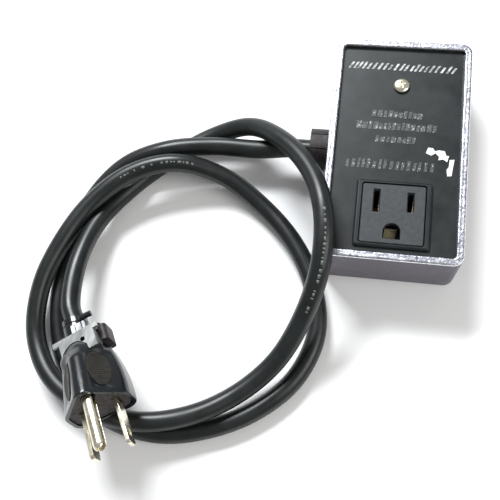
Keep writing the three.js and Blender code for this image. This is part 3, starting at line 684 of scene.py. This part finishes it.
def body_point(point, a, scale=1.0):
    """Moves a point of the front section back along the body: smaller, fuller on one side, then domed."""
    back = max(0.0, -a - FACE)
    t = clamp01((DOME_START - a) / (DOME_START - BODY_END))
    k = scale * (1 - SHRINK * back) * (1 - DOME_PULL * t ** DOME_POWER)
    p = CENTRE + DRIFT * back + (point - CENTRE) * k
    swell = math.sin(math.pi * clamp01(back / BELLY_LENGTH)) ** BELLY_POWER
    p.x += BELLY * swell * scale * max(0.0, point.x - CENTRE.x) / HALF_WIDTH
    angle = math.atan2(p.y - DOME_CENTRE.y, p.x - DOME_CENTRE.x)
    m = clamp01((TURN_START - a) / TURN_LENGTH)
    m = m * m * (3 - 2 * m) * clamp01(math.sin(angle) / TURN_EDGE)
    w = max(DOME_LEAST, DOME_WIDTH - DOME_NARROWING * (DOME_START - a))
    h = max(DOME_LEAST, DOME_HEIGHT * math.sqrt(1 - clamp01((DOME_CROWN - a) / DOME_LENGTH) ** 2))
    r = scale / math.hypot(math.cos(angle) / w, math.sin(angle) / h)
    return p.lerp(DOME_CENTRE + Vector((math.cos(angle), math.sin(angle))) * r, m)


def dip(t, a):
    """Depth of the shallow valley in a slanted side, t from 0 to 1 across it."""
    fade = clamp01((-a - 1.0) / 2.5) * clamp01((a + 20.0) / 3)
    return VALLEY * fade * math.sin(math.pi * t) ** 2


def slant(side, t):
    """Point and outward normal on the straight of a slanted side, t from 0 at the apex to 1 at the ridge."""
    centre, r, start, sweep = CORNERS[3]
    low_centre, low_r = CORNERS[2 if side > 0 else 4][:2]
    angle = start if side > 0 else start + sweep
    normal = Vector((math.cos(angle), math.sin(angle)))
    return (centre + normal * r).lerp(low_centre + normal * low_r, t), normal


def section_ring(a, scale=1.0, valley=True):
    """Outline of the body at distance a: rounded corners, with a shallow valley along each slanted side."""
    ring = []
    for i, (centre, r, start, sweep) in enumerate(CORNERS):
        for j in range(ARC_POINTS + 1):
            t = start + sweep * j / ARC_POINTS
            ring.append(body_point(centre + Vector((math.cos(t), math.sin(t))) * r, a, scale))
        if i in (2, 3):
            side = 1 if i == 2 else -1
            for j in range(1, SLANT_POINTS):
                t = 1 - j / SLANT_POINTS if side > 0 else j / SLANT_POINTS
                point, normal = slant(side, t)
                ring.append(body_point(point, a, scale) - normal * (dip(t, a) if valley else 0))
    return [plug_point(p.x, p.y, a) for p in ring]


# Distance along the plug and scale of the section, at the rounded front lip and the rounded cord end.
FRONT_LIP = [(0.0, 0.962), (-0.08, 0.978), (-0.25, 0.991), (-0.5, 0.998)]
END_LIP = [(-26.45, 0.985), (-26.65, 0.95), (-26.75, 0.90), (-26.8, 0.84)]
BARREL_FRONT, BARREL_LENGTH, BARREL_STEPS = -0.9, 25.3, 50
# Scale, back and front of each hollow: the recess for the disc, the step behind it, the wiring space.
HOLLOWS = [(0.88, -1.9, 2), (0.82, -5.2, 2), (0.8, -15.8, -4)]
CORD_BORE_R = 4.15


def make_plug_body():
    rings = [section_ring(a, k) for a, k in FRONT_LIP]
    rings += [section_ring(BARREL_FRONT - BARREL_LENGTH * i / BARREL_STEPS) for i in range(BARREL_STEPS + 1)]
    rings += [section_ring(a, k) for a, k in END_LIP]
    body = loft("plug_body_piece", rings[::-1])
    for scale, a0, a1 in HOLLOWS:
        cut(body, loft("tool", [section_ring(a0, scale, False), section_ring(a1, scale, False)]))
    bore = [(0, -45), (CORD_BORE_R, -45), (CORD_BORE_R, -8), (0, -8)]
    cut(body, lathe("tool", bore, mm(0, AXIS_U, 0), axis=PLUG_AXES))
    bevel_edges(body, 0.2, 3, 55, 35)
    paint(body, GLOSS)
    take_over(body, "plug_body")
    return body


GRIP_BACK, GRIP_FRONT, GRIP_HALF, GRIP_MIDDLE = -16.8, -3.2, 4.6, 0.42
RIB_PITCH, RIB_HEIGHT, GRIP_THICK = 0.82, 0.17, 0.3


def make_grips():
    """Oval pads of fine cross ribs, one in the valley of each slanted side, as one piece."""
    verts, faces = [], []
    rows, cols = 100, 26
    a0, a1 = GRIP_BACK, GRIP_FRONT
    span = (slant(1, 1)[0] - slant(1, 0)[0]).length
    for side in (1, -1):
        start = len(verts)
        for j in range(rows + 1):
            a = a0 + (a1 - a0) * j / rows
            off = (2 * a - a0 - a1) / (a1 - a0)
            half = GRIP_HALF * math.sqrt(max(0.0, 1 - off * off)) + 0.02
            k = 1 - SHRINK * max(0.0, -a - FACE)
            rib = RIB_HEIGHT * (0.5 + 0.5 * math.cos(2 * math.pi * (a - a0) / RIB_PITCH))
            for i in range(cols + 1):
                x = -half + 2 * half * i / cols
                t = min(GRIP_MIDDLE + x / (span * k), 1.0)
                point, normal = slant(side, t)
                edge = min(1.0, 3.0 * (1 - (x / (half + 0.01)) ** 2)) * min(1.0, 6 * (1 - off * off))
                lift = 0.02 + (0.05 + rib) * edge - dip(t, a)
                p = body_point(point, a) + normal * lift
                verts.append(plug_point(p.x, p.y, a))
        for j in range(rows):
            for i in range(cols):
                p = start + j * (cols + 1) + i
                quad = (p, p + 1, p + cols + 2, p + cols + 1)
                faces.append(quad if side > 0 else quad[::-1])
    ob = obj_from("plug_finger_grips", verts, faces)
    thicken(ob, GRIP_THICK)
    shade(ob, 60)
    paint(ob, GRIP)
    take_over(ob)
    return ob


plug_pieces = [make_plug_body(), make_grips()]
PLUG_PARTS = [
    (NICKEL, "nickel", 0.18, ["plug_hot_blade", "plug_neutral_blade", "plug_ground_pin"]),
    (FIBRE, "fibre_brown", 0.15, ["plug_face_disc"]),
    (BRASS, "brass", 0.2, ["plug_hot_screw", "plug_neutral_screw", "plug_ground_screw", "plug_clamp_screw_1",
                           "plug_clamp_screw_2"]),
    (STEEL, "steel", 0.22, ["plug_clamp_saddle"]),
    (FIBRE_SMOOTH, "fibre_brown", 0.6, ["plug_clamp_yoke"]),
    (GLOSS, "plug_black", 0.3, ["plug_collar", "plug_grommet"]),
]
for mat, slot, width, names in PLUG_PARTS:
    for n in names:
        piece = remake(n, width, 3)
        paint(piece, mat)
        plug_pieces.append(piece)
plug_pieces += [made[n] for n in ("plug_cord_end", "plug_line_core", "plug_neutral_core", "plug_ground_core")]

print_piece = print_marks("cord_print_marks", [(392, 424, 0.4), (642, 680, 0.5)], 11)


# ---------------------------------------------------------------- floor, light, sky
FLOOR_HALF, FLOOR_Z = 2500, -0.05


def add_floor():
    corners = ((-1, -1), (1, -1), (1, 1), (-1, 1))
    verts = [mm(x * FLOOR_HALF, y * FLOOR_HALF, FLOOR_Z) for x, y in corners]
    ob = obj_from("floor", verts, [(0, 1, 2, 3)])
    mat = bpy.data.materials.new("floor")
    mat.use_nodes = True
    shader = mat.node_tree.nodes["Principled BSDF"]
    shader.inputs["Base Color"].default_value = (0.92, 0.92, 0.92, 1)
    shader.inputs["Roughness"].default_value = 0.9
    shader.inputs["Specular IOR Level"].default_value = 0.1
    ob.data.materials.append(mat)


def add_light(name, position, target, size, power, colour):
    """Rectangular lamp; places and size in metres, power in watts."""
    data = bpy.data.lights.new(name, "AREA")
    data.shape = "RECTANGLE"
    data.size, data.size_y = size
    data.energy = power
    data.color = colour
    ob = add_object(name, data)
    ob.location = position
    ob.rotation_euler = (Vector(target) - Vector(position)).to_track_quat("-Z", "Y").to_euler()


add_floor()
add_light("window", (-0.35, 0.55, 0.75), (-0.06, -0.05, 0), (0.45, 0.22), 15, (0.95, 0.98, 1.0))
add_light("fill", (0.6, -0.2, 0.7), (-0.05, -0.05, 0), (0.5, 0.5), 4, (1.0, 0.99, 0.97))
world = bpy.data.worlds.new("studio")
world.use_nodes = True
sky = world.node_tree.nodes["Background"]
sky.inputs["Color"].default_value = (1, 1, 1, 1)
sky.inputs["Strength"].default_value = 0.38
scene.world = world
scene.view_settings.view_transform = "Standard"
